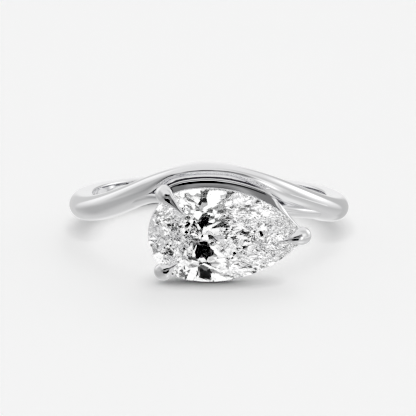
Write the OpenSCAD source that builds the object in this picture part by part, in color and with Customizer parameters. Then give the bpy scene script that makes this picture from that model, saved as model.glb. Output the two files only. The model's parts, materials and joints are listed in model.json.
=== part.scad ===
// Pear engagement ring, lying on its side as it rests on a table.
// A polished band sweeps up over a pear-shaped stone, a lower arm of it runs under the stone,
// and three pointed claws hold the stone in an open gallery.
//
// Ring frame: X to the ring's right, Y away from the stone, Z along the finger.
// Head frame: x along the stone from its round end to its point, y up the finger, z out from the finger.

/* [Finger] */
// inside diameter of the band
finger_d = 16.5; // [14:0.1:22]

/* [Band] */
// width of the band along the finger
band_w = 1.82; // [1.4:0.02:3]
// thickness of the band from the finger to the top of its dome
band_t = 1.65; // [1.2:0.05:2.5]
// share of the thickness below the dome
dome_from = 0.4; // [0.2:0.05:0.8]
// how far the crest of the sweep stands above the plain part
crest_rise = 3.2; // [0:0.02:4.5]
// width of the upper arm at the crest
crest_w = 0.87; // [0.7:0.01:1.8]
// angle over which the sweep sinks on the left
sweep_left = 42.5; // [30:0.5:60]
// angle over which the sweep sinks on the right
sweep_right = 48; // [30:0.5:60]

/* [Lower arm] */
// width of the arm that runs under the stone
arm_w = 0.95; // [0.7:0.05:1.6]
// thickness of the arm that runs under the stone
arm_t = 1.6; // [1:0.05:2]

/* [Stone] */
// length of the stone
stone_l = 10.3; // [6:0.1:14]
// width of the stone
stone_w = 6.12; // [4:0.02:9]
// how far from the round end the stone is widest
stone_widest = 3.9; // [2.5:0.1:6]
// how far from the round end the lowest point of the stone lies
culet_x = 3.5; // [2:0.1:6]
// distance of the stone's edge from the finger's axis
girdle_r = 12.3; // [11.5:0.1:14]
// thickness of the stone's edge
girdle_t = 0.18; // [0.05:0.01:0.4]
// height of the stone above its edge
crown_h = 0.95; // [0.5:0.05:1.5]
// depth of the stone below its edge
pavilion_h = 2.55; // [1.5:0.05:3.5]
// height above the edge at which the main crown facets would meet
crown_apex = 2.1; // [1.2:0.05:3]
// how far the round end lies left of the finger's axis
round_end = 3.95; // [2:0.05:6]
// how far the stone's middle lies below the middle of the plain band
stone_drop = 0.25; // [-1:0.01:1]

/* [Head] */
// gap between the stone and the metal
stone_gap = 0.04; // [0.02:0.01:0.1]
// thickness of the rail at the foot of the head
foot_d = 0.72; // [0.5:0.02:1]
// distance of that rail from the finger's axis
foot_r = 10; // [9.6:0.05:10.6]
// how far in from the stone's edge that rail runs
foot_inset = 1.75; // [1:0.05:2.5]

/* [Rest] */
// how far the ring tips back on the table, stone side up
rest_pitch = 6.77; // [0:0.01:15]
// how far the ring leans sideways on the table
rest_roll = 0.3; // [-5:0.01:5]
// height of the ring's centre above the table
rest_height = 1.953; // [0:0.001:6]
// shift to the right that centres the whole
rest_x = 0; // [-3:0.001:3]
// shift away from the stone that centres the whole
rest_y = 1.779; // [-3:0.001:3]

/* [Hidden] */

finger_r = finger_d / 2;
metal = [0.86, 0.86, 0.88];
diamond = [0.93, 0.95, 0.97];

// how far the band dips below the finger hole before it is cut, and how far the lower arm keeps off it
band_dip = 0.04;
arm_lift = 0.03;

function smooth(t) =
    let (c = min(1, max(0, t)))
    c * c * (3 - 2 * c);

function tanh(x) =
    let (e = exp(-2 * x))
    (1 - e) / (1 + e);

function mix(a, b, t) = a + (b - a) * t;

function unit(v) = v / norm(v);

// the sweep of the band; angles run from the stone's direction to the right

// angle by which the sweep changes from its left to its right spread
spread_turn = 25;

function sweep_spread(p) =
    mix(sweep_left, sweep_right, 0.5 + 0.5 * tanh(p / spread_turn));

// angle at which the sweep has sunk to nothing, and how sharply it does
sweep_end = 90;
fade_powers = [6, 2];

function sweep_fade(p) = pow(1 - pow(p / sweep_end, fade_powers[0]), fade_powers[1]);

function sweep(p) = crest_rise * exp(-pow(p / sweep_spread(p), 2)) * sweep_fade(p);

// angles between which the upper arm narrows to its crest and widens again
pinch_left = [-27, -14];
pinch_right = [6, 34];

function pinch(p) =
    p < 0
        ? smooth((pinch_left[1] - p) / (pinch_left[1] - pinch_left[0]))
        : smooth((p - pinch_right[0]) / (pinch_right[1] - pinch_right[0]));

function upper_w(p) = mix(crest_w, band_w, pinch(p));

function upper_mid(p) = sweep(p) + (band_w - upper_w(p)) / 2;

// angles at which the lower arm leaves the band and joins it again
arm_ends = [-34, 52];

// heights of the arm's middle along its way
arm_way = [[-34, 1.3], [-22, 1.78], [0, 1.32], [30, 0.88], [52, 0.36]];
// share of the arm's thickness at its ends, and the angles over which it grows whole from them
arm_sunk = 0.88;
arm_rise = [10, 16];

function arm_mid(p) = spline_at(arm_way, p)[1];

function arm_thick(p) =
    arm_t * mix(
        arm_sunk,
        1,
        smooth((p - arm_ends[0]) / arm_rise[0]) * smooth((arm_ends[1] - p) / arm_rise[1])
    );

// a smooth curve through control points whose first value grows
function spline_at(points, x) =
    let (
        last = len(points) - 2,
        k = min(last, max(0, len([for (q = points) if (q[0] <= x) 1]) - 1)),
        t = (x - points[k][0]) / (points[k + 1][0] - points[k][0])
    )
    catmull(points, k, t);

function catmull(points, k, t) =
    let (
        b = points[k],
        c = points[k + 1],
        a = k > 0 ? points[k - 1] : 2 * b - c,
        d = k + 2 < len(points) ? points[k + 2] : 2 * c - b
    )
    0.5 * (2 * b + (c - a) * t + (2 * a - 5 * b + 4 * c - d) * t * t
        + (3 * b - a - 3 * c + d) * t * t * t);

// half-round section: across from minus to plus half its width, out from 0 at the finger to 1
dome_steps = 12;
half_across = 0.5;
// how far in and up the corners at the finger are cut
corner_in = 0.08;
corner_up = 0.1;
half_round = concat(
    [for (i = [0 : dome_steps])
        let (a = 180 * i / dome_steps)
        [half_across * cos(a), dome_from + (1 - dome_from) * sin(a)]],
    [
        [-half_across, corner_up],
        [corner_in - half_across, 0],
        [half_across - corner_in, 0],
        [half_across, corner_up]
    ]
);

// section of the band at angle p as [radius, height] pairs, d deeper than the finger hole
function ring_section(w, t, mid, d) =
    [for (q = half_round) [finger_r - d + q[1] * (t + d), mid + q[0] * w]];

function around(q, p) = [q[0] * sin(p), -q[0] * cos(p), q[1]];

// a skin over equal rings of points; loops close on themselves when asked, or end in flat caps
module skin(rings, closed = false) {
    n = len(rings[0]);
    m = len(rings);
    points = [for (r = rings) each r];
    sides = [
        for (i = [0 : m - (closed ? 1 : 2)])
        for (j = [0 : n - 1])
        let (
            a = i * n + j,
            b = i * n + (j + 1) % n,
            c = ((i + 1) % m) * n + (j + 1) % n,
            d = ((i + 1) % m) * n + j
        )
        each [[a, b, c], [a, c, d]]
    ];
    caps = closed
        ? []
        : [[for (j = [n - 1 : -1 : 0]) j], [for (j = [0 : n - 1]) (m - 1) * n + j]];
    polyhedron(points, concat(sides, caps));
}

// the half of the band away from the stone, plain and round
back_sides = 96;

module band_back() {
    rotate_extrude(angle = 180, start = 0, $fn = back_sides)
        polygon(ring_section(band_w, band_t, 0, band_dip));
}

// the half of the band with the sweep
band_steps = 60;

module band_front() {
    skin([
        for (i = [band_steps : -1 : 0])
        let (p = mix(-sweep_end, sweep_end, i / band_steps))
        [for (q = ring_section(upper_w(p), band_t, upper_mid(p), band_dip)) around(q, p)]
    ]);
}

arm_steps = 30;

module lower_arm() {
    skin([
        for (i = [arm_steps : -1 : 0])
        let (p = mix(arm_ends[0], arm_ends[1], i / arm_steps))
        [for (q = ring_section(arm_w, arm_thick(p), arm_mid(p), -arm_lift)) around(q, p)]
    ]);
}

// the outline of the stone, made of a round end and two long arcs that meet in the point

half_w = stone_w / 2;
wing_r = ((stone_l - stone_widest) * (stone_l - stone_widest) / half_w + half_w) / 2;
wing_y = wing_r - half_w;
round_r = (wing_r * wing_r - stone_widest * stone_widest - wing_y * wing_y)
    / (2 * (wing_r - stone_widest));
// direction from the middle of a long arc to the place where it meets the round end
joint_a = atan2(wing_y, round_r - stone_widest);

wing_steps = 18;
round_steps = 26;

// outline moved out by d, anticlockwise from the point
function outline(d) =
    let (
        point_a = asin(wing_y / (wing_r + d)),
        upper = [for (i = [0 : wing_steps]) wing_point(d, mix(point_a, joint_a, i / wing_steps))],
        rounded = [for (i = [1 : round_steps - 1])
            let (a = mix(joint_a, 360 - joint_a, i / round_steps))
            [round_r, 0] + (round_r + d) * [cos(a), sin(a)]],
        lower = [for (i = [wing_steps : -1 : 1]) [upper[i][0], -upper[i][1]]]
    )
    concat(upper, rounded, lower);

function wing_point(d, a) = [stone_widest, -wing_y] + (wing_r + d) * [cos(a), sin(a)];

// place on the outline seen from the culet at angle a, and the direction straight out there
function edge_at(a) =
    a % 360 == 0
        ? [[stone_l, 0], [1, 0]]
        : let (
            s = a < 0 || a > 180 ? -1 : 1,
            ray = [cos(a), sin(a)],
            c = [stone_widest, -s * wing_y],
            hit = ray_circle([culet_x, 0], ray, c, wing_r),
            on_wing = hit[0] > round_r + round_r * cos(joint_a),
            c2 = on_wing ? c : [round_r, 0],
            hit2 = on_wing ? hit : ray_circle([culet_x, 0], ray, c2, round_r)
        )
        [hit2, unit(hit2 - c2)];

function ray_circle(o, ray, c, r) =
    let (
        v = o - c,
        b = v * ray
    )
    o + ray * (sqrt(b * b - v * v + r * r) - b);

// facets of the stone, each a plane as [direction out, distance from the frame's origin]

function plane(a, b, c, inside) =
    let (
        raw = unit(cross(b - a, c - a)),
        out = raw * (a - inside) > 0 ? raw : -raw
    )
    [out, out * a];

// angles of the eight main facets, seen from the culet
mains = [0, 38, 84, 132, 180, 228, 276, 322];
girdle_top = girdle_r;
girdle_low = girdle_r - girdle_t;
table_z = girdle_r + crown_h;
apex = [culet_x, 0, girdle_top + crown_apex];
culet = [culet_x, 0, girdle_low - pavilion_h];
heart = [culet_x, 0, girdle_low];
// how far up the crown and down the pavilion the small facets reach
star_share = 0.55;
half_share = 0.78;
// where between two main facets the two small ones touch the edge
half_places = [0.27, 0.73];

function lift(q, z) = [q[0], q[1], z];

// plane that touches the edge at angle a and passes through point q
function touching(a, z, q) =
    let (
        e = edge_at(a),
        p = lift(e[0], z)
    )
    plane(p, p + [-e[1][1], e[1][0], 0], q, heart);

// point on the ridge between two main facets, at a share of the way from the edge to the end
function ridge(a, b, z, end, share) =
    let (
        m1 = touching(a, z, end),
        m2 = touching(b, z, end),
        along = unit(cross(m1[0], m2[0])),
        run = (z - end[2]) / along[2]
    )
    end + along * run * (1 - share);

function next_main(i) = i == len(mains) - 1 ? 360 : mains[i + 1];

table_share = (table_z - girdle_top) / crown_apex;

// corner of the table on main facet i
function table_corner(a) = mix(lift(edge_at(a)[0], girdle_top), apex, table_share);

facets = [
    [[0, 0, 1], table_z],
    for (i = [0 : len(mains) - 1])
    let (
        a = mains[i],
        b = next_main(i),
        star_foot = ridge(a, b, girdle_top, apex, star_share * table_share),
        half_foot = ridge(a, b, girdle_low, culet, half_share)
    )
    each [
        touching(a, girdle_top, apex),
        touching(a, girdle_low, culet),
        plane(star_foot, table_corner(a), table_corner(b), heart),
        for (t = half_places)
        each [
            touching(mix(a, b, t), girdle_top, star_foot),
            touching(mix(a, b, t), girdle_low, half_foot)
        ]
    ]
];

// everything on the inner side of a plane
module within(facet, grow) {
    reach = 40;
    out = facet[0];
    translate(out * (facet[1] + grow))
        rotate([0, acos(out[2]), atan2(out[1], out[0])])
            translate([-reach, -reach, -2 * reach])
                cube([2 * reach, 2 * reach, 2 * reach]);
}

edge_margin = 1;

// the cut stone, or the room for it when grown by the gap
module stone_body(grow = 0) {
    intersection() {
        translate([0, 0, culet[2] - edge_margin])
            linear_extrude(table_z - culet[2] + 2 * edge_margin)
                polygon(outline(grow));
        intersection_for(f = facets)
            within(f, grow);
    }
}

// the side of the gallery under the crest is a wall: the places along the stone between which it begins
// and ends
wall_from = [0.5, 1.4];
wall_to = [7.0, 10.1];

function wall(q) =
    q[1] <= 0
        ? 0
        : smooth((q[0] - wall_from[0]) / (wall_from[1] - wall_from[0]))
            * smooth((wall_to[1] - q[0]) / (wall_to[1] - wall_to[0]));

// corners of the gallery's section as [out from the stone's edge, up from it], plain and as the wall
gallery_plain = [
    [-0.10, -0.22],
    [0.03, -0.36],
    [0.03, -0.74],
    [-0.12, -0.92],
    [-0.40, -0.92],
    [-0.54, -0.78],
    [-0.54, -0.46],
    [-0.34, -0.24]
];
gallery_wall = [
    [-0.08, -0.18],
    [0.22, -0.20],
    [0.53, -0.28],
    [0.62, -0.42],
    [0.62, -1.40],
    [0.20, -1.80],
    [-0.40, -1.10],
    [-0.34, -0.34]
];

function outline_size() = 2 * wing_steps + round_steps;

module gallery() {
    edge = outline(0);
    skin([
        for (i = [outline_size() - 1 : -1 : 0])
        [for (j = [0 : len(gallery_plain) - 1])
            let (g = mix(gallery_plain[j], gallery_wall[j], wall(edge[i])))
            lift(outline(g[0])[i], girdle_r + g[1])]
    ], true);
}

foot_sides = 10;

module foot_rail() {
    skin([
        for (i = [outline_size() - 1 : -2 : 0])
        [for (j = [0 : foot_sides - 1])
            let (a = 360 * j / foot_sides)
            lift(outline(-foot_inset - foot_d / 2 * cos(a))[i], foot_r + foot_d / 2 * sin(a))]
    ], true);
}

// height of the crown over a place: the lowest of the facets that face up
function crown_at(q) =
    min([for (f = facets) if (f[0][2] > up_enough) (f[1] - f[0][0] * q[0] - f[0][1] * q[1]) / f[0][2]]);
up_enough = 0.01;

// parts of a claw's way as [out from the bulb, height from the stone's edge, half width, half thickness];
// the shank is given for a foot 1 mm inside the bulb, and the talon's heights stand on the crown
claw_shank = [[-1, -2.3, 0.34, 0.34], [-0.55, -1.4, 0.36, 0.34]];
claw_bulb = [[-0.2, -0.6, 0.42, 0.39], [0.02, -0.04, 0.47, 0.43], [-0.2, 0.33, 0.46, 0.36]];
claw_talon = [[-0.62, 0.31, 0.31, 0.26], [-1.1, 0.17, 0.14, 0.14], [-1.62, 0.04, 0.03, 0.03]];

// way of the claw whose bulb stands at q and which goes out along a direction
function claw_way(q, out, size, reach, foot) =
    [for (c = concat(
        [for (s = claw_shank) [s[0] * foot, s[1], s[2], s[3]]],
        claw_bulb,
        [for (s = claw_talon)
            let (rise = crown_at(q + [out[0], out[1]] * s[0] * reach) - girdle_r)
            [s[0] * reach, s[1] + max(rise, 0), s[2], s[3]]]
    )) [c[0], c[1], c[2] * size, c[3] * size]];

claw_steps = 21;
claw_sides = 14;
// share of the way before and after a place that gives its direction
claw_ahead = 0.02;

function claw_at(way, t) =
    let (
        u = t * (len(way) - 1),
        k = min(len(way) - 2, floor(u))
    )
    catmull(way, k, u - k);

// claw whose bulb stands at q and whose tip points along direction aim
module claw(q, aim, size, reach, foot) {
    out = -[cos(aim), sin(aim), 0];
    across = [-out[1], out[0], 0];
    way = claw_way(q, out, size, reach, foot);
    skin([
        for (i = [claw_steps : -1 : 0])
        let (
            t = i / claw_steps,
            c = claw_at(way, t),
            ahead = claw_at(way, min(1, t + claw_ahead)) - claw_at(way, max(0, t - claw_ahead)),
            along = unit(out * ahead[0] + [0, 0, ahead[1]]),
            over = cross(along, across),
            middle = lift(q, girdle_r) + out * c[0] + [0, 0, c[1]]
        )
        [for (j = [0 : claw_sides - 1])
            let (b = 360 * j / claw_sides)
            middle + across * c[2] * cos(b) + over * c[3] * sin(b)]
    ]);
}

// each claw at the round end as [angle from that end's middle, out from the edge, aim of the tip, size,
// reach of the talon, how far inside its bulb it stands on the foot rail]
round_claws = [[126, 0.42, -44, 1.18, 1.15, 2], [-130, 0.2, 33, 1.22, 0.72, 2]];
// the point's claw as [out from the point, up from the long axis, aim, size, reach, foot]
point_claw = [-0.2, 0.06, -168, 1.2, 0.95, 2.4];

module claws() {
    for (c = round_claws) {
        place = [round_r, 0] + (round_r + c[1]) * [cos(c[0]), sin(c[0])];
        claw(place, c[2], c[3], c[4], c[5]);
    }
    p = point_claw;
    claw([stone_l + p[0], p[1]], p[2], p[3], p[4], p[5]);
}

// the hole's shape: straight through the plain part, a little wider over the crest
hole_flare = 0.08;
hole_margin = 0.05;
hole_sides = 128;

module finger_hole() {
    straight = band_w / 2 + hole_margin;
    tall = crest_rise + band_w;
    translate([0, 0, -straight])
        cylinder(r = finger_r, h = 2 * straight, $fn = hole_sides);
    translate([0, 0, straight])
        cylinder(r1 = finger_r, r2 = finger_r + hole_flare, h = tall, $fn = hole_sides);
}

module at_head() {
    translate([-round_end, 0, -stone_drop])
        rotate([90, 0, 0])
            children();
}

module at_rest() {
    translate([rest_x, rest_y, rest_height])
        rotate([-rest_pitch, rest_roll, 0])
            children();
}

module shank() {
    difference() {
        union() {
            band_back();
            band_front();
        }
        finger_hole();
    }
    lower_arm();
}

module head() {
    difference() {
        union() {
            gallery();
            foot_rail();
            claws();
        }
        stone_body(stone_gap);
    }
}

module band_with_claws() {
    color(metal)
        at_rest() {
            shank();
            at_head()
                head();
        }
}

module pear_stone() {
    color(diamond)
        at_rest()
            at_head()
                stone_body();
}

band_with_claws();
pear_stone();
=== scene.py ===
"""Pear engagement ring: a polished white gold band that sweeps over a claw-set pear-cut diamond.

Lengths are in metres and angles in degrees. Shapes are worked out in the ring's own frame, with x to
the ring's right, y away from the stone and z along the finger, or in the head's frame, with x along
the stone from its round end to its point, y along the finger and z out from the finger. They are then
laid down as the ring rests on the table.
"""

import json
import math

import bmesh
import bpy
import numpy as np
from bpy.props import FloatProperty, FloatVectorProperty, PointerProperty
from mathutils import Matrix


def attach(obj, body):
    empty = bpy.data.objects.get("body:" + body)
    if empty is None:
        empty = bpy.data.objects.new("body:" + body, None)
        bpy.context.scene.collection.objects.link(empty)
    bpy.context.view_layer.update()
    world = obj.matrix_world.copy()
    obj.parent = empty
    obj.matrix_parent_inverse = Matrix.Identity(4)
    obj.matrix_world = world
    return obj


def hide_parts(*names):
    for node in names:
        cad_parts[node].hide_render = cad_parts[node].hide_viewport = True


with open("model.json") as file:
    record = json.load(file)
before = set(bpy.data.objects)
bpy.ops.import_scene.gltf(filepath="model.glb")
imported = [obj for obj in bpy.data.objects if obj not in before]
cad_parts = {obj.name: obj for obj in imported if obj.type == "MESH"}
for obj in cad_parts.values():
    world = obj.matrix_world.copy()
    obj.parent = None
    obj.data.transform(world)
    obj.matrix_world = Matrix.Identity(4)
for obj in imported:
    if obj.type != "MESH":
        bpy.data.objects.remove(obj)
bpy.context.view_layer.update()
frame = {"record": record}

bl_info = {
    "name": "Pear Engagement Ring",
    "version": (1, 0, 0),
    "blender": (4, 5, 0),
    "location": "View3D > Sidebar > Ring",
    "description": "Builds a white gold ring with a claw-set pear-cut diamond on a pale table",
    "category": "Add Mesh",
}

MM = 0.001


def linear(code):
    """Linear red, green and blue of an sRGB hex colour."""
    s = np.array([int(code[i : i + 2], 16) for i in (1, 3, 5)]) / 255
    return tuple(float(v) for v in np.where(s <= 0.04045, s / 12.92, ((s + 0.055) / 1.055) ** 2.4))


def length(name, description, millimetres):
    """A length that the sidebar shows, with its default in millimetres."""
    return FloatProperty(
        name=name,
        description=description,
        default=millimetres * MM,
        min=0.0,
        unit="LENGTH",
        precision=5,
    )


def colour(name, description, code):
    """A colour that the sidebar shows, with its default as sRGB hex."""
    return FloatVectorProperty(
        name=name,
        description=description,
        default=linear(code),
        subtype="COLOR",
        size=3,
        min=0.0,
        max=1.0,
    )


# sizes


class RingSizes(bpy.types.PropertyGroup):
    """Sizes of the ring's band, stone and head."""

    finger_d: length("Finger hole", "Inside diameter of the band", 16.5)
    # a hair less than the solid's width and thickness, so that the band stays inside its box
    band_w: length("Band width", "Width of the plain band along the finger", 1.8)
    band_t: length("Band thickness", "From the finger to the top of the dome", 1.64)
    crest_rise: length("Crest rise", "How far the crest of the sweep stands above the plain band", 3.2)
    crest_w: length("Crest width", "Width of the upper arm at the crest", 0.87)
    arm_w: length("Lower arm width", "Width of the arm that runs under the stone", 0.95)
    arm_t: length("Lower arm thickness", "Thickness of the arm that runs under the stone", 1.6)
    stone_l: length("Stone length", "From the round end to the point", 10.3)
    stone_w: length("Stone width", "Across the stone where it is widest", 6.12)
    girdle_r: length("Stone distance", "From the finger's axis to the stone's edge", 12.3)
    crown_h: length("Crown height", "Height of the stone above its edge", 0.95)
    pavilion_h: length("Pavilion depth", "Depth of the stone below its edge", 2.55)
    foot_d: length("Foot rail", "Thickness of the rail at the foot of the head", 0.72)
    stone_gap: length("Stone gap", "Gap between the stone and the metal", 0.04)


class RingColours(bpy.types.PropertyGroup):
    """Colours of the ring and of what it lies on."""

    white_gold: colour("White gold", "Rhodium-plated white gold, as it mirrors head on", "#EFEFF0")
    # dark grey painted into the groove under the crest as its shade
    groove_shade: colour("Groove shade", "White gold where no polishing wheel reaches", "#858487")
    diamond: colour("Diamond", "Tint of the stone", "#FFFFFF")
    table: colour("Table", "Matt white acrylic", "#D2D2D2")


# smooth curves


def smooth(t):
    """3t squared minus 2t cubed, with t kept between 0 and 1."""
    t = np.clip(t, 0, 1)
    return t * t * (3 - 2 * t)


def mix(a, b, t):
    """The value at share t of the way from a to b."""
    return a + (b - a) * t


def unit(v):
    """Vectors of the same directions with length 1."""
    return v / np.linalg.norm(v, axis=-1, keepdims=True)


def catmull(points, k, t):
    """The Catmull-Rom cubic from point k to the next at share t, with the ends carried on straight."""
    p = np.concatenate([2 * points[:1] - points[1:2], points, 2 * points[-1:] - points[-2:-1]])
    a, b, c, d = p[k], p[k + 1], p[k + 2], p[k + 3]
    t = t[..., None]
    return 0.5 * (
        2 * b + (c - a) * t + (2 * a - 5 * b + 4 * c - d) * t**2 + (3 * b - a - 3 * c + d) * t**3
    )


def spline_at(points, x):
    """The smooth curve through points whose first value grows, at first values x."""
    points = np.asarray(points, float)
    k = np.clip(np.searchsorted(points[:, 0], x, side="right") - 1, 0, len(points) - 2)
    t = (x - points[k, 0]) / (points[k + 1, 0] - points[k, 0])
    return catmull(points, k, t)


def way_at(points, t):
    """The smooth curve through points, at shares t of the number of its spans."""
    points = np.asarray(points, float)
    u = t * (len(points) - 1)
    k = np.minimum(u.astype(int), len(points) - 2)
    return catmull(points, k, u - k)


# the way the ring lies

HOLE = next(m for m in frame["record"]["mounts"] if m["kind"] == "bore")
AXIS = unit(np.array(HOLE["axis"], float))
CENTRE = np.array(HOLE["pos_m"], float)
PITCH = math.asin(AXIS[1])
ROLL = math.atan2(AXIS[0], AXIS[2])
LAY = np.array(Matrix.Rotation(ROLL, 3, "Y") @ Matrix.Rotation(-PITCH, 3, "X"))
# how far the stone's round end lies left of the finger's axis, and its middle below the plain band's
ROUND_END = 3.95 * MM
STONE_DROP = 0.25 * MM


def laid(points):
    """Points of the ring's frame where the ring lies: tipped back by the pitch, leaned by the roll."""
    return points @ LAY.T + CENTRE


def from_head(points):
    """Points of the head's frame in the ring's frame."""
    x, y, z = np.moveaxis(points, -1, 0)
    return np.stack([x - ROUND_END, -z, y - STONE_DROP], -1)


def around(radius, height, angle):
    """Points at a radius and height round the finger, at an angle from the stone to the right."""
    a = np.radians(angle)
    return np.stack([radius * np.sin(a), -radius * np.cos(a), height], -1)


def add_skin(name, rings, closed=False):
    """A mesh over a grid of m rings of n points: every cell is a quad, each ring closes on itself,
    and the rings close too or end in a fan round the middle of the end ring. Faces point outwards."""
    m, n = rings.shape[:2]
    i = np.arange(m if closed else m - 1)[:, None]
    j = np.arange(n)[None]
    after_i, after_j = (i + 1) % m, (j + 1) % n
    cells = [i * n + j, i * n + after_j, after_i * n + after_j, after_i * n + j]
    quads = np.stack(cells, -1).reshape(-1, 4)
    points = rings.reshape(-1, 3)
    fans = np.empty((0, 3), int)
    if not closed:
        points = np.vstack([points, rings[0].mean(0), rings[-1].mean(0)])
        near, far = j[0], (j[0] + 1) % n
        last = (m - 1) * n
        fans = np.vstack(
            [
                np.stack([np.full(n, m * n), far, near], -1),
                np.stack([np.full(n, m * n + 1), last + near, last + far], -1),
            ]
        )
    halves = np.vstack([quads[:, [0, 1, 2]], quads[:, [0, 2, 3]], fans])
    a, b, c = (points[halves[:, k]] for k in range(3))
    if np.einsum("ij,ij->", a, np.cross(b, c)) < 0:
        quads, fans = quads[:, ::-1], fans[:, ::-1]
    mesh = bpy.data.meshes.new(name)
    mesh.from_pydata(points.tolist(), [], quads.tolist() + fans.tolist())
    mesh.shade_smooth()
    mesh.update()
    piece = bpy.data.objects.new(name, mesh)
    bpy.context.scene.collection.objects.link(piece)
    return piece


def wear(piece, material, node):
    """Gives a piece its material and slot, lets it ride with the ring, and hides the CAD node that it
    stands for."""
    piece.data.materials.append(material)
    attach(piece, "root")
    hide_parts(node)


# the band's sweep

# angles over which the crest sinks on its left and on its right, the angle over which the one turns into
# the other, and the angle from the crest at which the band is plain again
SWEEP_SPREAD = (42.5, 48.0)
SPREAD_TURN = 25.0
SWEEP_END = 90.0
# angles between which the whole band narrows into the upper arm, and widens again
PINCH_LEFT = (-27.0, -14.0)
PINCH_RIGHT = (6.0, 34.0)
# how much wider the hole gets over the crest, and how far above the plain band that begins
HOLE_FLARE = 0.08 * MM
HOLE_LIP = 0.05 * MM
# the lower arm: angles of its two ends, its share of its thickness there, the angles over which it swells
# to the whole, how far it stands off the finger hole, and its way as (angle, height along the finger)
ARM_ENDS = (-34.0, 52.0)
ARM_SUNK = 0.88
ARM_RISE = (10.0, 16.0)
ARM_LIFT = 0.03 * MM
ARM_WAY = np.array([[-34, 1.3], [-22, 1.78], [0, 1.32], [30, 0.88], [52, 0.36]])
# rings of the mesh round the band and steps along the lower arm
BAND_STEPS = 720
ARM_STEPS = 240


def sweep(p, rise):
    """The crest's rise times e to minus the squared angle over its spread, faded to nothing at a
    quarter turn. The spread turns from its left to its right value with a hyperbolic tangent."""
    spread = mix(*SWEEP_SPREAD, 0.5 + 0.5 * np.tanh(p / SPREAD_TURN))
    fade = np.clip(1 - (p / SWEEP_END) ** 6, 0, 1) ** 2
    return rise * np.exp(-((p / spread) ** 2)) * fade


def pinch(p):
    """0 where the upper arm has its crest width and 1 where the band is whole."""
    left = smooth((PINCH_LEFT[1] - p) / (PINCH_LEFT[1] - PINCH_LEFT[0]))
    right = smooth((p - PINCH_RIGHT[0]) / (PINCH_RIGHT[1] - PINCH_RIGHT[0]))
    return np.where(p < 0, left, right)


# a band's section, as shares of its width and thickness: where its dome begins, and how far each inner
# corner's rounding runs across and out
DOME_FROM = 0.4
CORNER = (0.08, 0.1)
# steps of the mesh over the dome, round each inner corner and between them
DOME_STEPS = 40
CORNER_STEPS = 6
FLAT_STEPS = 8


def half_round():
    """A band's section as (across, out) pairs: half an ellipse on straight sides, rounded into a flat
    inner side by quarter ellipses. It runs once round, anticlockwise from the right side."""
    a = np.radians(np.linspace(0, 180, DOME_STEPS + 1))
    dome = np.stack([0.5 * np.cos(a), DOME_FROM + (1 - DOME_FROM) * np.sin(a)], -1)
    b = np.radians(np.linspace(0, 90, CORNER_STEPS + 1))
    corner = np.stack([-0.5 + CORNER[0] * (1 - np.cos(b)), CORNER[1] * (1 - np.sin(b))], -1)
    flat = np.linspace(-0.5 + CORNER[0], 0.5 - CORNER[0], FLAT_STEPS + 1)[1:-1]
    inner = np.stack([flat, np.zeros_like(flat)], -1)
    return np.vstack([dome, corner, inner, corner[::-1] * [-1, 1]])


def band_rings(p, width, thick, middle, inside):
    """The section at each angle p: its width scales across, its thickness scales out, and its inner
    side keeps to the radius that the inside function gives at each height."""
    section = half_round()
    height = middle[:, None] + width[:, None] * section[:, 0]
    radius = inside(height) + np.reshape(thick, (-1, 1)) * section[:, 1]
    return around(radius, height, p[:, None])


# the stone's outline

# how far from its round end the stone is widest, and the long arc's share of half the way round
WIDEST = 3.9 * MM
WING_SHARE = 0.36


class Outline:
    """The pear's edge: a round end and two long arcs that meet in the point."""

    def __init__(self, sizes):
        half = sizes.stone_w / 2
        self.length = sizes.stone_l
        self.wing_r = ((self.length - WIDEST) ** 2 / half + half) / 2
        self.wing_y = self.wing_r - half
        self.round_r = (self.wing_r**2 - WIDEST**2 - self.wing_y**2) / (2 * (self.wing_r - WIDEST))
        self.joint = math.degrees(math.atan2(self.wing_y, self.round_r - WIDEST))

    def at(self, t, out):
        """Points at shares t of the way round, from the point anticlockwise, moved out square to the
        edge: on the upper arc, then on the round end, then on the lower arc, mirrored."""
        t, out = np.broadcast_arrays(t, out)
        tip = np.degrees(np.arcsin(self.wing_y / (self.wing_r + out)))
        s = np.where(t > 0.5, 1 - t, t)
        a = np.radians(mix(tip, self.joint, np.clip(s / WING_SHARE, 0, 1)))
        r = self.wing_r + out
        wing = np.stack([WIDEST + r * np.cos(a), r * np.sin(a) - self.wing_y], -1)
        b = np.radians(mix(self.joint, 180, np.clip((s - WING_SHARE) / (0.5 - WING_SHARE), 0, 1)))
        r = self.round_r + out
        end = np.stack([self.round_r + r * np.cos(b), r * np.sin(b)], -1)
        xy = np.where((s < WING_SHARE)[..., None], wing, end)
        return xy * np.stack([np.ones_like(s), np.where(t > 0.5, -1, 1)], -1)

    def seen_at(self, angle, eye):
        """The place on the edge that an eye on the long axis sees at an angle, and the way out there."""
        if angle % 360 == 0:
            return np.array([self.length, 0]), np.array([1.0, 0])
        side = -1 if angle < 0 or angle > 180 else 1
        ray = np.array([math.cos(math.radians(angle)), math.sin(math.radians(angle))])
        middle, radius = np.array([WIDEST, -side * self.wing_y]), self.wing_r
        hit = meet(np.array([eye, 0]), ray, middle, radius)
        if hit[0] <= self.round_r * (1 + math.cos(math.radians(self.joint))):
            middle, radius = np.array([self.round_r, 0]), self.round_r
            hit = meet(np.array([eye, 0]), ray, middle, radius)
        return hit, unit(hit - middle)


def meet(start, ray, middle, radius):
    """Where a ray from inside a circle leaves it."""
    v = start - middle
    b = v @ ray
    return start + ray * (math.sqrt(b * b - v @ v + radius * radius) - b)


# the stone's facets

# thickness of the stone's edge, height over it at which the mains would meet, and the lowest point's
# distance from the round end
GIRDLE_T = 0.18 * MM
CROWN_APEX = 2.1 * MM
CULET_X = 3.5 * MM
# angles of the mains, how far down from the table the stars reach, and where the halves touch the edge as
# shares of the way from one main to the next
MAINS = (0, 38, 84, 132, 180, 228, 276, 322)
STAR_SHARE = 0.55
HALF_PLACES = (0.27, 0.73)
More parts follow.
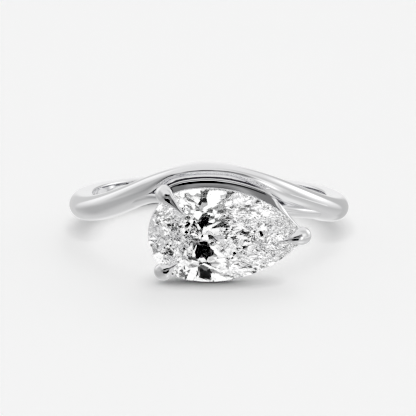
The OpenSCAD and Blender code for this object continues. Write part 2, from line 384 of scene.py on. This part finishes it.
# tiers below the edge as (share of the way out, number of facets, phase), and how they bulge
TIERS = (
    (0.16, 8, 0.25),
    (0.34, 8, 0.75),
    (0.42, 16, 0.5),
    (0.56, 19, 0.3),
    (0.7, 25, 0.8),
    (0.84, 31, 0.1),
    (0.96, 37, 0.4),
)
BULGE = 1.15
# upright planes round the edge
SIDES = 160
# corners closer together than this are one
SAME = 0.0005 * MM


def plane(a, b, c, inside):
    """The plane through three points as (direction out, distance), seen from a point inside."""
    out = unit(np.cross(b - a, c - a))
    out = out if out @ (a - inside) > 0 else -out
    return np.append(out, out @ a)


class Facets:
    """The planes of the cut stone as (direction out, distance): a pear brilliant's above its edge,
    upright ones round the edge, and tiers of small ones below it."""

    def __init__(self, sizes):
        self.edge = Outline(sizes)
        self.top = sizes.girdle_r
        self.low = sizes.girdle_r - GIRDLE_T
        self.apex = np.array([CULET_X, 0, self.top + CROWN_APEX])
        self.culet = np.array([CULET_X, 0, self.low - sizes.pavilion_h])
        self.heart = np.array([CULET_X, 0, self.low])
        self.crown = self.brilliant(sizes.crown_h)
        self.cut = np.vstack([self.crown, self.tiers(), self.sides()])

    def brilliant(self, crown_h):
        """The table, and for each span between two mains the first main, a star from their ridge to
        the table, and two halves from the ridge to the edge."""
        share = crown_h / CROWN_APEX
        planes = [np.array([0, 0, 1, self.top + crown_h])]
        for a, b in zip(MAINS, MAINS[1:] + (360,)):
            star_foot = self.ridge(a, b, STAR_SHARE * share)
            places = [np.append(self.edge.seen_at(q, CULET_X)[0], self.top) for q in (a, b)]
            corners = [mix(place, self.apex, share) for place in places]
            planes += [self.touching(a, self.apex), plane(star_foot, *corners, self.heart)]
            planes += [self.touching(mix(a, b, t), star_foot) for t in HALF_PLACES]
        return np.array(planes)

    def tiers(self):
        """The planes below the edge: each touches the surface whose height over the lowest point is
        the pavilion's depth times the share of the way out to the power of the bulge, at evenly spaced
        angles on each tier."""
        planes = []
        for share, count, phase in TIERS:
            for angle in (np.arange(count) + phase) * 360 / count:
                place, out = self.edge.seen_at(float(angle), CULET_X)
                along = place - self.culet[:2]
                slope = (self.low - self.culet[2]) * BULGE * share ** (BULGE - 1) / (out @ along)
                normal = unit(np.append(out * slope, -1))
                at = np.append(self.culet[:2] + share * along, self.culet[2])
                at[2] += (self.low - self.culet[2]) * share**BULGE
                planes.append(np.append(normal, normal @ at))
        return np.array(planes)

    def sides(self):
        """The upright planes of the stone's edge."""
        ends = self.edge.at(np.arange(SIDES + 1) / SIDES, 0)
        run = unit(ends[1:] - ends[:-1])
        out = np.stack([run[:, 1], -run[:, 0]], -1)
        return np.column_stack([out, np.zeros(SIDES), (out * ends[:-1]).sum(-1)])

    def solid(self):
        """Corners and faces of the solid inside all the planes. The hull of the planes' dual points
        gives the planes that meet at each corner, and the corners of a plane, sorted by their angle
        round its normal, are its face."""
        normals = self.cut[:, :3]
        room = self.cut[:, 3] - normals @ self.heart
        hull = bmesh.new()
        for point in normals / room[:, None]:
            hull.verts.new(point * MM)
        hull.verts.index_update()
        bmesh.ops.convex_hull(hull, input=hull.verts)
        joined = np.array([[v.index for v in f.verts] for f in hull.faces])
        hull.free()
        corners = np.linalg.solve(normals[joined], room[joined][..., None])[..., 0] + self.heart
        spots, same = np.unique(np.round(corners / SAME).astype(int), axis=0, return_inverse=True)
        same = same.ravel()
        faces = []
        for i, normal in enumerate(normals):
            on = np.unique(same[(joined == i).any(-1)])
            if len(on) < 3:
                continue
            arm = spots[on] - spots[on].mean(0)
            side = unit(np.cross(normal, np.eye(3)[np.abs(normal).argmin()]))
            turn = np.arctan2(arm @ np.cross(normal, side), arm @ side)
            faces.append(on[np.argsort(turn)].tolist())
        return spots * SAME, faces

    def touching(self, angle, through):
        """The plane that touches the edge at an angle and passes through a point of the crown."""
        place, out = self.edge.seen_at(angle, CULET_X)
        p = np.append(place, self.top)
        return plane(p, p + np.array([-out[1], out[0], 0]), through, self.heart)

    def ridge(self, a, b, share):
        """The point on the ridge between two mains, at a share of the way from the edge to the apex."""
        along = unit(np.cross(self.touching(a, self.apex)[:3], self.touching(b, self.apex)[:3]))
        return self.apex + along * (self.top - self.apex[2]) / along[2] * (1 - share)

    def crown_at(self, xy):
        """Height of the crown over places: the lowest of its planes."""
        return ((self.crown[:, 3] - xy @ self.crown[:, :2].T) / self.crown[:, 2]).min(-1)

    def pushed_out(self, points, gap):
        """Points with those that lie less than the gap outside the stone moved out to it, square to
        the nearest of its planes."""
        depth = points @ self.cut[:, :3].T - self.cut[:, 3] - gap
        nearest = depth.argmax(-1)
        move = np.minimum(np.take_along_axis(depth, nearest[..., None], -1)[..., 0], 0)
        return points - self.cut[nearest, :3] * move[..., None]


# materials

# light that the table gives off by itself, as a share of full white, and how near the ring has to be for
# that glow to be darkened as a painted contact shadow
BACKLIGHT = 0.495
CONTACT = 1.6 * MM


def add_node(tree, kind, values=None, links=None, stops=(), **settings):
    """A node with its settings, its input values, links into its inputs, and a colour ramp's stops, each
    a place and a grey or a colour."""
    node = tree.nodes.new(kind)
    for name, value in settings.items():
        setattr(node, name, value)
    for name, value in (values or {}).items():
        node.inputs[name].default_value = value
    for name, source in (links or {}).items():
        tree.links.new(source, node.inputs[name])
    if stops:
        elements = node.color_ramp.elements
        while len(elements) < len(stops):
            elements.new(0.5)
        for element, (place, value) in zip(elements, stops):
            element.position = place
            element.color = (*np.broadcast_to(value, 3), 1)
    return node


def new_material(name):
    """A material with an empty node tree, and that tree."""
    material = bpy.data.materials.new(name)
    material.use_nodes = True
    material.node_tree.nodes.clear()
    return material, material.node_tree


def polished_white_gold(colours):
    """White gold, plated with rhodium and machine polished: a near mirror. A buffing wheel leaves hair
    lines of about 0.02 mm, drawn 0.06 mm apart so that they show, and a faint uneven gloss in patches
    of 2.4 mm."""
    material, tree = new_material("polished_white_gold")
    place = add_node(tree, "ShaderNodeTexCoord")
    stretched = add_node(
        tree, "ShaderNodeMapping", {"Scale": (0.25, 0.25, 1.0)}, {"Vector": place.outputs["Object"]}
    )
    lines = add_node(
        tree,
        "ShaderNodeTexNoise",
        {"Scale": 16000.0, "Detail": 3.0},
        {"Vector": stretched.outputs["Vector"]},
    )
    patches = add_node(
        tree, "ShaderNodeTexNoise", {"Scale": 420.0, "Detail": 2.0}, {"Vector": place.outputs["Object"]}
    )
    gloss = add_node(
        tree,
        "ShaderNodeMapRange",
        {"From Min": 0.3, "From Max": 0.7, "To Min": 0.03, "To Max": 0.075},
        {"Value": patches.outputs["Fac"]},
    )
    white_gold = np.array(colours.white_gold)
    tone = add_node(
        tree,
        "ShaderNodeValToRGB",
        links={"Fac": patches.outputs["Fac"]},
        stops=((0.3, 0.97 * white_gold), (0.7, white_gold)),
    )
    bump = add_node(
        tree,
        "ShaderNodeBump",
        {"Strength": 0.02, "Distance": 0.004 * MM},
        {"Height": lines.outputs["Fac"]},
    )
    metal = add_node(
        tree,
        "ShaderNodeBsdfPrincipled",
        {"Metallic": 1.0},
        {
            "Base Color": tone.outputs["Color"],
            "Roughness": gloss.outputs["Result"],
            "Normal": bump.outputs["Normal"],
        },
    )
    # in the groove under the crest the polished metal gives way to a matt dark grey: painted shade
    groove = add_node(tree, "ShaderNodeAttribute", attribute_name="groove")
    shade_bsdf = add_node(
        tree,
        "ShaderNodeBsdfPrincipled",
        {"Base Color": (*colours.groove_shade, 1), "Roughness": 0.7, "Specular IOR Level": 0.1},
    )
    surface = add_node(
        tree,
        "ShaderNodeMixShader",
        links={0: groove.outputs["Fac"], 1: metal.outputs["BSDF"], 2: shade_bsdf.outputs["BSDF"]},
    )
    add_node(tree, "ShaderNodeOutputMaterial", links={"Surface": surface.outputs["Shader"]})
    return material


def cut_diamond(colours):
    """Cut and polished diamond: clear, with a high refractive index that turns light back through the
    table. Natural stones hold faint clouds, drawn here as a barely darker tint in patches of 0.6 mm."""
    material, tree = new_material("cut_diamond")
    place = add_node(tree, "ShaderNodeTexCoord")
    clouds = add_node(
        tree, "ShaderNodeTexNoise", {"Scale": 1600.0, "Detail": 2.0}, {"Vector": place.outputs["Object"]}
    )
    clear = np.array(colours.diamond)
    tint = add_node(
        tree,
        "ShaderNodeValToRGB",
        links={"Fac": clouds.outputs["Fac"]},
        stops=((0.35, 0.985 * clear), (0.6, clear)),
    )
    stone = add_node(
        tree,
        "ShaderNodeBsdfPrincipled",
        {"IOR": 2.417, "Roughness": 0.0, "Transmission Weight": 1.0},
        {"Base Color": tint.outputs["Color"]},
    )
    add_node(tree, "ShaderNodeOutputMaterial", links={"Surface": stone.outputs["BSDF"]})
    return material


def pale_table(colours):
    """A matt sheet of white acrylic, moulded and so without a grain, softly lit from beneath so that
    shadows on it stay faint, with a tone that drifts slightly over 40 mm. Its glow is darkened where
    the ring stands close over it: painted contact shadow."""
    material, tree = new_material("backlit_acrylic")
    place = add_node(tree, "ShaderNodeTexCoord")
    drift = add_node(
        tree, "ShaderNodeTexNoise", {"Scale": 25.0, "Detail": 1.0}, {"Vector": place.outputs["Object"]}
    )
    white = np.array(colours.table)
    tone = add_node(
        tree,
        "ShaderNodeValToRGB",
        links={"Fac": drift.outputs["Fac"]},
        stops=((0.3, 0.99 * white), (0.7, white)),
    )
    # the glow is darkened near the ring: painted contact shadow
    near = add_node(tree, "ShaderNodeAmbientOcclusion", {"Distance": CONTACT}, samples=8)
    glow = add_node(
        tree, "ShaderNodeMath", {1: BACKLIGHT}, {0: near.outputs["AO"]}, operation="MULTIPLY"
    )
    top = add_node(
        tree,
        "ShaderNodeBsdfPrincipled",
        {"Roughness": 0.9, "Specular IOR Level": 0.0, "Emission Color": (1.0, 1.0, 1.0, 1.0)},
        {"Base Color": tone.outputs["Color"], "Emission Strength": glow.outputs[0]},
    )
    add_node(tree, "ShaderNodeOutputMaterial", links={"Surface": top.outputs["BSDF"]})
    return material


def material_of(make, name):
    """The material of that name, made if it isn't there yet."""
    return bpy.data.materials.get(name) or make(bpy.context.scene.ring_colours)


# operators


class RING_OT_band(bpy.types.Operator):
    """Builds the band with its sweep over the stone, and the lower arm that runs under the stone"""

    bl_idname = "ring.band"
    bl_label = "Band"

    def execute(self, context):
        s = context.scene.ring_sizes
        metal = material_of(polished_white_gold, "polished_white_gold")
        straight = s.band_w / 2 + HOLE_LIP
        tall = s.crest_rise + s.band_w

        def hole(height):
            """The hole's radius: straight through the plain band and a little wider over the crest."""
            return s.finger_d / 2 + HOLE_FLARE * np.clip((height - straight) / tall, 0, 1)

        p = np.linspace(-180, 180, BAND_STEPS + 1)[:-1]
        width = mix(s.crest_w, s.band_w, pinch(p))
        middle = sweep(p, s.crest_rise) + (s.band_w - width) / 2
        band = add_skin("swept_band", laid(band_rings(p, width, s.band_t, middle, hole)), closed=True)
        wear(band, metal, "band_with_claws")

        q = np.linspace(*ARM_ENDS, ARM_STEPS + 1)
        middle = spline_at(ARM_WAY * [1, MM], q)[:, 1]
        inner = s.finger_d / 2 + ARM_LIFT
        whole = smooth((q - ARM_ENDS[0]) / ARM_RISE[0]) * smooth((ARM_ENDS[1] - q) / ARM_RISE[1])
        thick = s.arm_t * mix(ARM_SUNK, 1, whole)
        rings = band_rings(q, np.full_like(q, s.arm_w), thick, middle, lambda height: inner + 0 * height)
        wear(add_skin("lower_arm", laid(rings)), metal, "band_with_claws")
        return {"FINISHED"}


# corners of the gallery's section as (out from the stone's edge, height from it): plain, and as a wall
# that fills the view between the stone and the crest
GALLERY_PLAIN = np.array(
    [
        [-0.10, -0.22],
        [0.02, -0.36],
        [0.02, -0.74],
        [-0.12, -0.92],
        [-0.40, -0.92],
        [-0.54, -0.78],
        [-0.54, -0.46],
        [-0.34, -0.24],
    ]
)
GALLERY_WALL = np.array(
    [
        [-0.08, -0.18],
        [0.22, -0.20],
        [0.53, -0.28],
        [0.62, -0.42],
        [0.62, -1.40],
        [0.20, -1.80],
        [-0.40, -1.10],
        [-0.34, -0.34],
    ]
)
# places along the stone between which the wall rises, and sinks again
WALL_FROM = (0.5 * MM, 1.4 * MM)
WALL_TO = (7.0 * MM, 10.1 * MM)
# corners of the section between which the wall's outer face is painted dark grey as shade, in the groove
# under the crest, how softly that begins, and the places along the stone between which the groove runs
# out
GROOVE = (2.9, 4.1)
GROOVE_SOFT = 0.2
GROOVE_END = (6.2 * MM, 7.8 * MM)
# the foot rail's distance from the finger's axis, and how far inside the stone's edge it runs
FOOT_R = 10.0 * MM
FOOT_INSET = 1.75 * MM
# steps round the stone, round the gallery's section from corner to corner, and round the foot rail
EDGE_STEPS = 360
SECTION_STEPS = 8
RAIL_STEPS = 32


class RING_OT_gallery(bpy.types.Operator):
    """Builds the gallery under the stone's edge, flared towards the crest, and the rail at its foot"""

    bl_idname = "ring.gallery"
    bl_label = "Gallery and foot rail"

    def execute(self, context):
        s = context.scene.ring_sizes
        metal = material_of(polished_white_gold, "polished_white_gold")
        stone = Facets(s)
        t = np.linspace(0, 1, EDGE_STEPS + 1)[:-1, None]
        self.gallery(t, stone, s, metal)
        self.foot_rail(t, stone.edge, s, metal)
        return {"FINISHED"}

    def gallery(self, t, stone, s, metal):
        """At each share t of the way round, a smooth closed curve through the corners of the section.
        The corners go from plain to wall on the crest's side of the stone."""
        on = stone.edge.at(t, 0)
        along = on[..., 0]
        rise = smooth((along - WALL_FROM[0]) / (WALL_FROM[1] - WALL_FROM[0]))
        sink = smooth((WALL_TO[1] - along) / (WALL_TO[1] - WALL_TO[0]))
        wall = np.where(on[..., 1] <= 0, 0, rise * sink)
        corners = mix(GALLERY_PLAIN, GALLERY_WALL, wall[..., None])
        count = len(GALLERY_PLAIN)
        k = np.linspace(0, count, count * SECTION_STEPS + 1)[:-1]
        loop = np.concatenate([corners[:, -1:], corners, corners[:, :2]], 1)
        part = k.astype(int)
        section = catmull(loop.transpose(1, 0, 2), part + 1, (k - part)[:, None]).transpose(1, 0, 2)
        out, height = section[..., 0] * MM, s.girdle_r + section[..., 1] * MM
        rings = np.concatenate([stone.edge.at(t, out), height[..., None]], -1)
        rings = stone.pushed_out(rings, s.stone_gap)
        piece = add_skin("gallery", laid(from_head(rings)), closed=True)
        wear(piece, metal, "band_with_claws")
        # where the groove's painted shade covers the wall, faded in at the section's corners and out
        # along the stone
        groove = smooth((k - GROOVE[0]) / GROOVE_SOFT) * smooth((GROOVE[1] - k) / GROOVE_SOFT)
        groove = groove * wall * smooth((GROOVE_END[1] - along) / (GROOVE_END[1] - GROOVE_END[0]))
        shade_mask = piece.data.attributes.new("groove", "FLOAT", "POINT")
        shade_mask.data.foreach_set("value", groove.ravel())

    def foot_rail(self, t, edge, s, metal):
        """A circle carried round inside the stone's edge."""
        a = np.radians(np.linspace(0, 360, RAIL_STEPS + 1)[:-1])
        out = -FOOT_INSET - s.foot_d / 2 * np.cos(a)
        height = np.broadcast_to(FOOT_R + s.foot_d / 2 * np.sin(a), (len(t), len(a)))
        rings = np.concatenate([edge.at(t, out), height[..., None]], -1)
        piece = add_skin("foot_rail", laid(from_head(rings)), closed=True)
        wear(piece, metal, "band_with_claws")


# each claw: name, bulb's place as (angle from the round end's middle, how far outside the edge) or as
# a point on the long axis, aim of the tip, size, reach of the talon, how far inside its foot stands
CLAWS = (
    ("claw_upper", 126, 0.42, -44, 1.18, 1.15, 2.0),
    ("claw_lower", -130, 0.2, 33, 1.22, 0.72, 2.0),
)
POINT_CLAW = ("claw_point", (-0.2, 0.06), -168, 1.2, 0.95, 2.4)

# a claw's way as (out from the bulb, height from the stone's edge, half width, half thickness)
CLAW_SHANK = ((-1.0, -2.3, 0.34, 0.34), (-0.55, -1.4, 0.36, 0.34))
CLAW_BULB = ((-0.2, -0.6, 0.42, 0.39), (0.02, -0.04, 0.47, 0.43), (-0.2, 0.33, 0.46, 0.36))
# the talon's heights stand on the crown
CLAW_TALON = ((-0.62, 0.31, 0.31, 0.26), (-1.1, 0.17, 0.14, 0.14), (-1.62, 0.04, 0.03, 0.03))
# steps along a claw and round it, and the share of its way over which its direction is taken
CLAW_STEPS = 120
CLAW_SIDES = 48
AHEAD = 0.02


class RING_OT_claws(bpy.types.Operator):
    """Builds the three claws: a shank, a round bulb at the stone's edge and a pointed talon on it"""

    bl_idname = "ring.claws"
    bl_label = "Claws"

    def execute(self, context):
        s = context.scene.ring_sizes
        metal = material_of(polished_white_gold, "polished_white_gold")
        stone = Facets(s)
        round_r = stone.edge.round_r
        for name, angle, out, aim, size, reach, foot in CLAWS:
            a = math.radians(angle)
            place = np.array([round_r, 0]) + (round_r + out * MM) * np.array([math.cos(a), math.sin(a)])
            self.claw(name, place, aim, size, reach, foot, stone, s, metal)
        name, (out, up), aim, size, reach, foot = POINT_CLAW
        place = np.array([s.stone_l + out * MM, up * MM])
        self.claw(name, place, aim, size, reach, foot, stone, s, metal)
        return {"FINISHED"}

    def claw(self, name, place, aim, size, reach, foot, stone, s, metal):
        """Ellipses carried along a smooth way that rises from the foot rail, rounds the stone's edge
        and lies down on the crown, square to the way, then kept off the stone by the gap."""
        a = math.radians(aim)
        out = -np.array([math.cos(a), math.sin(a), 0])
        across = np.array([-out[1], out[0], 0])
        talon = np.array(CLAW_TALON)
        talon[:, 0] *= reach
        over = place + out[:2] * talon[:, :1] * MM
        talon[:, 1] += np.maximum(stone.crown_at(over) - s.girdle_r, 0) / MM
        way = np.vstack([np.array(CLAW_SHANK) * [foot, 1, 1, 1], CLAW_BULB, talon])
        way[:, 2:] *= size
        t = np.linspace(0, 1, CLAW_STEPS + 1)
        c = way_at(way, t)
        ahead = way_at(way, np.minimum(t + AHEAD, 1)) - way_at(way, np.maximum(t - AHEAD, 0))
        along = unit(out * ahead[:, :1] + np.array([0, 0, 1]) * ahead[:, 1:2])
        over = np.cross(along, across)
        middle = np.append(place, s.girdle_r) + (out * c[:, :1] + np.array([0, 0, 1]) * c[:, 1:2]) * MM
        b = np.radians(np.linspace(0, 360, CLAW_SIDES + 1)[:-1])[None, :, None]
        wide, thick = c[:, 2][:, None, None] * MM, c[:, 3][:, None, None] * MM
        rings = middle[:, None] + across * wide * np.cos(b) + over[:, None] * thick * np.sin(b)
        rings = stone.pushed_out(rings, s.stone_gap)
        wear(add_skin(name, laid(from_head(rings))), metal, "band_with_claws")


class RING_OT_stone(bpy.types.Operator):
    """Cuts the stone: table, crown, edge and many small facets below, all of them flat"""

    bl_idname = "ring.stone"
    bl_label = "Stone"

    def execute(self, context):
        corners, faces = Facets(context.scene.ring_sizes).solid()
        mesh = bpy.data.meshes.new("cut_pear")
        mesh.from_pydata(laid(from_head(corners)).tolist(), [], faces)
        mesh.update()
        piece = bpy.data.objects.new("cut_pear", mesh)
        context.scene.collection.objects.link(piece)
        wear(piece, material_of(cut_diamond, "cut_diamond"), "pear_stone")
        return {"FINISHED"}


# the tent that the metal mirrors: its tones as (elevation, tone), and its parts as (azimuths from and to,
# elevations from and to, softness, tone), with azimuth 0 on the camera's side and 90 on the right.
# These numbers were not all chosen by hand: the five tones and 86 of the 90 values in 15 of the 22
# parts are rounded results of a random search made against the photo. The other 7 parts and 4 values
# were set one by one.
TENT_TONES = ((-90, 0.66), (-40, 0.71), (-15, 0.59), (0, 0.92), (90, 0.83))
TENT_PARTS = (
    ((-129, -11), (-59, 1), 40, 0.52),
    ((-158, -121), (8, 39), 21, 1.11),
    ((-100, -49), (-1, 40), 23, 0.57),
    ((61, 137), (9, 33), 20, 1.60),
    ((66, 105), (-19, 85), 40, 0.62),
    ((36, 85), (-75, -42), 20, 0.94),
    ((-25, 53), (-3, 42), 6, 0.37),
    ((41, 54), (-16, 11), 17, 1.60),
    ((-57, -4), (-14, 23), 40, 0.36),
    ((-30, 30), (26, 36), 5, 0.16),
    ((155, 207), (-37, 7), 40, 0.92),
    ((-187, -168), (-44, 8), 29, 0.91),
    ((140, 168), (-35, 25), 8, 0.58),
    ((-168, -142), (-35, 25), 8, 0.68),
    ((-4, 8), (-18, 21), 3, 0.50),
    ((-3, 5), (15, 18), 5, 0.17),
    ((-18, 22), (-8, 4), 2, 0.5),
    ((68, 113), (-11, -6), 2, 0.97),
    ((-29, 28), (-27, -5), 4, 0.05),
    ((-11, 4), (-27, -3), 2, 0.0),
    ((-11, 4), (25, 38), 2, 0.0),
    ((-4, 4), (-5, 2), 1, 0.03),
)

# the stone's tent: white, with the dark front of the room round the camera and a few darker gaps
SPARKLE_TONES = ((-90, 1.1), (-20, 1.2), (90, 1.5))
SPARKLE_PARTS = (
    ((-75, -48), (-30, 40), 4, 0.12),
    ((40, 60), (-50, 20), 4, 0.1),
    ((-30, 30), (46, 58), 4, 0.1),
    ((110, 150), (10, 50), 4, 0.3),
    ((-22, 22), (-8, 35), 4, 0.0),
    ((-110, 110), (16, 24), 3, 0.2),
    ((-110, 110), (-24, -14), 3, 0.25),
)

# the table's tent: soft, with a bright cloth behind the ring that draws the shadow forward
FILL_TONES = ((-90, 0.44), (90, 0.44))
FILL_PARTS = (((150, 210), (15, 60), 30, 3.3),)

# the camera's response as (light in, light out): shadows deepen, lights stay as they are
TONE_CURVE = ((0.15, 0.01), (0.3, 0.17), (0.45, 0.42), (0.6, 0.6), (0.8, 0.8))
# times that light may turn inside the stone and between it and the metal
BOUNCES = 32
# half the side of the table top
TABLE_HALF = 2.0

# the camera's height over the ring's own plane and its roll to the left, in degrees, and its distance
CAMERA_RISE = 8.4
CAMERA_TURN = 0.6
CAMERA_AWAY = 150 * MM
# the picture's side in pixels, its scale at the ring's middle, and the place of that middle in it
PICTURE = 416
PIXELS_PER_MM = 14.1
RING_AT = (209, 204.35)


class RING_OT_stage(bpy.types.Operator):
    """Lays the table, lights it softly and sets up the camera"""

    bl_idname = "ring.stage"
    bl_label = "Stage"

    def execute(self, context):
        corners = [(x * TABLE_HALF, y * TABLE_HALF, 0) for x, y in ((-1, -1), (1, -1), (1, 1), (-1, 1))]
        mesh = bpy.data.meshes.new("table_top")
        mesh.from_pydata(corners, [], [(0, 1, 2, 3)])
        floor = bpy.data.objects.new("table_top", mesh)
        context.scene.collection.objects.link(floor)
        mesh.materials.append(material_of(pale_table, "backlit_acrylic"))
        # the tents alone show in the metal and the stone
        floor.visible_glossy = floor.visible_transmission = False
        self.sky(context)
        self.camera(context)
        view = context.scene.view_settings
        view.view_transform = "Standard"
        view.use_curve_mapping = True
        for point in TONE_CURVE:
            view.curve_mapping.curves[3].points.new(*point)
        view.curve_mapping.update()
        light = context.scene.cycles
        light.max_bounces = light.glossy_bounces = light.transmission_bounces = BOUNCES
        return {"FINISHED"}

    def sky(self, context):
        """A tent of white cloth round the table, hung three ways, as in a picture put together from
        three shots: for soft reflections in the metal, for sparkle in the stone, with more contrast,
        and for the light on the table."""
        world = bpy.data.worlds.new("white_tent")
        world.use_nodes = True
        tree = world.node_tree
        tree.nodes.clear()
        way = add_node(tree, "ShaderNodeTexCoord")
        part = add_node(tree, "ShaderNodeSeparateXYZ", links={"Vector": way.outputs["Generated"]})
        back = add_node(tree, "ShaderNodeMath", {1: -1.0}, {0: part.outputs["Y"]}, operation="MULTIPLY")
        azimuth = add_node(
            tree,
            "ShaderNodeMath",
            links={0: part.outputs["X"], 1: back.outputs[0]},
            operation="ARCTAN2",
        )
        elevation = add_node(tree, "ShaderNodeMath", links={0: part.outputs["Z"]}, operation="ARCSINE")
        path = add_node(tree, "ShaderNodeLightPath")
        tone = self.tent(tree, azimuth, elevation, TENT_TONES, TENT_PARTS)
        for ray, tones, parts in (
            ("Is Transmission Ray", SPARKLE_TONES, SPARKLE_PARTS),
            ("Is Diffuse Ray", FILL_TONES, FILL_PARTS),
        ):
            own = self.tent(tree, azimuth, elevation, tones, parts)
            tone = add_node(
                tree, "ShaderNodeMix", links={0: path.outputs[ray], 6: tone, 7: own}, data_type="RGBA"
            ).outputs[2]
        light = add_node(tree, "ShaderNodeBackground", {"Strength": 1.0}, {"Color": tone})
        add_node(tree, "ShaderNodeOutputWorld", links={"Surface": light.outputs["Background"]})
        context.scene.world = world

    def tent(self, tree, azimuth, elevation, tones, parts):
        """The tone in every direction: by elevation first, then each part covers what was there over
        its azimuths and elevations, softly at its rim."""
        height = add_node(
            tree,
            "ShaderNodeMapRange",
            {"From Min": -math.pi / 2, "From Max": math.pi / 2},
            {"Value": elevation.outputs[0]},
        )
        tone = add_node(
            tree,
            "ShaderNodeValToRGB",
            links={"Fac": height.outputs[0]},
            stops=[(0.5 + e / 180, v) for e, v in tones],
        ).outputs["Color"]
        for azimuths, elevations, soft, value in parts:
            blur = math.radians(soft) / 2
            within = []
            for source, (low, high) in ((azimuth, azimuths), (elevation, elevations)):
                middle, half = math.radians(low + high) / 2, math.radians(high - low) / 2
                off = add_node(
                    tree, "ShaderNodeMath", {1: middle}, {0: source.outputs[0]}, operation="SUBTRACT"
                )
                far = add_node(tree, "ShaderNodeMath", links={0: off.outputs[0]}, operation="ABSOLUTE")
                within.append(
                    add_node(
                        tree,
                        "ShaderNodeMapRange",
                        {"From Min": half + blur, "From Max": half - blur},
                        {"Value": far.outputs[0]},
                        interpolation_type="SMOOTHSTEP",
                    ).outputs[0]
                )
            inside = add_node(
                tree, "ShaderNodeMath", links={0: within[0], 1: within[1]}, operation="MULTIPLY"
            )
            tone = add_node(
                tree,
                "ShaderNodeMix",
                {7: (value, value, value, 1)},
                {0: inside.outputs[0], 6: tone},
                data_type="RGBA",
            ).outputs[2]
        return tone

    def camera(self, context):
        """Looks at the ring from its stone side, a little above the ring's own plane."""
        rise = math.radians(CAMERA_RISE)
        turn = math.radians(CAMERA_TURN)
        back = LAY @ np.array([0, -math.cos(rise), math.sin(rise)])
        up = LAY @ np.array([0, math.sin(rise), math.cos(rise)])
        right = LAY @ np.array([1.0, 0, 0])
        right, up = (
            math.cos(turn) * right + math.sin(turn) * up,
            math.cos(turn) * up - math.sin(turn) * right,
        )
        shift_right = (RING_AT[0] - PICTURE / 2) / PIXELS_PER_MM * MM
        shift_up = (PICTURE / 2 - RING_AT[1]) / PIXELS_PER_MM * MM
        aim = CENTRE - right * shift_right - up * shift_up
        data = bpy.data.cameras.new("camera")
        data.sensor_width = 36
        data.lens = data.sensor_width * CAMERA_AWAY / (PICTURE / PIXELS_PER_MM * MM)
        data.clip_start, data.clip_end = 0.01, 10
        camera = bpy.data.objects.new("camera", data)
        place = np.eye(4)
        place[:3] = np.stack([right, up, back, aim + back * CAMERA_AWAY], -1)
        camera.matrix_world = Matrix(place.tolist())
        context.scene.collection.objects.link(camera)
        context.scene.camera = camera


class RING_PT_panel(bpy.types.Panel):
    """Lists the ring's pieces, sizes and colours"""

    bl_idname = "RING_PT_panel"
    bl_label = "Pear Engagement Ring"
    bl_space_type = "VIEW_3D"
    bl_region_type = "UI"
    bl_category = "Ring"

    def draw(self, context):
        for group in (context.scene.ring_sizes, context.scene.ring_colours):
            box = self.layout.box()
            for name in group.bl_rna.properties.keys():
                if name not in {"rna_type", "name"}:
                    box.prop(group, name)
        for operator in OPERATORS:
            self.layout.operator(operator.bl_idname)


OPERATORS = (RING_OT_band, RING_OT_gallery, RING_OT_claws, RING_OT_stone, RING_OT_stage)
CLASSES = (RingSizes, RingColours, *OPERATORS, RING_PT_panel)


def register():
    for c in CLASSES:
        bpy.utils.register_class(c)
    bpy.types.Scene.ring_sizes = PointerProperty(type=RingSizes)
    bpy.types.Scene.ring_colours = PointerProperty(type=RingColours)


def unregister():
    del bpy.types.Scene.ring_colours
    del bpy.types.Scene.ring_sizes
    for c in reversed(CLASSES):
        bpy.utils.unregister_class(c)


def main():
    """Builds the ring and its stage."""
    register()
    bpy.ops.ring.band()
    bpy.ops.ring.gallery()
    bpy.ops.ring.claws()
    bpy.ops.ring.stone()
    bpy.ops.ring.stage()


if __name__ == "__main__":
    main()
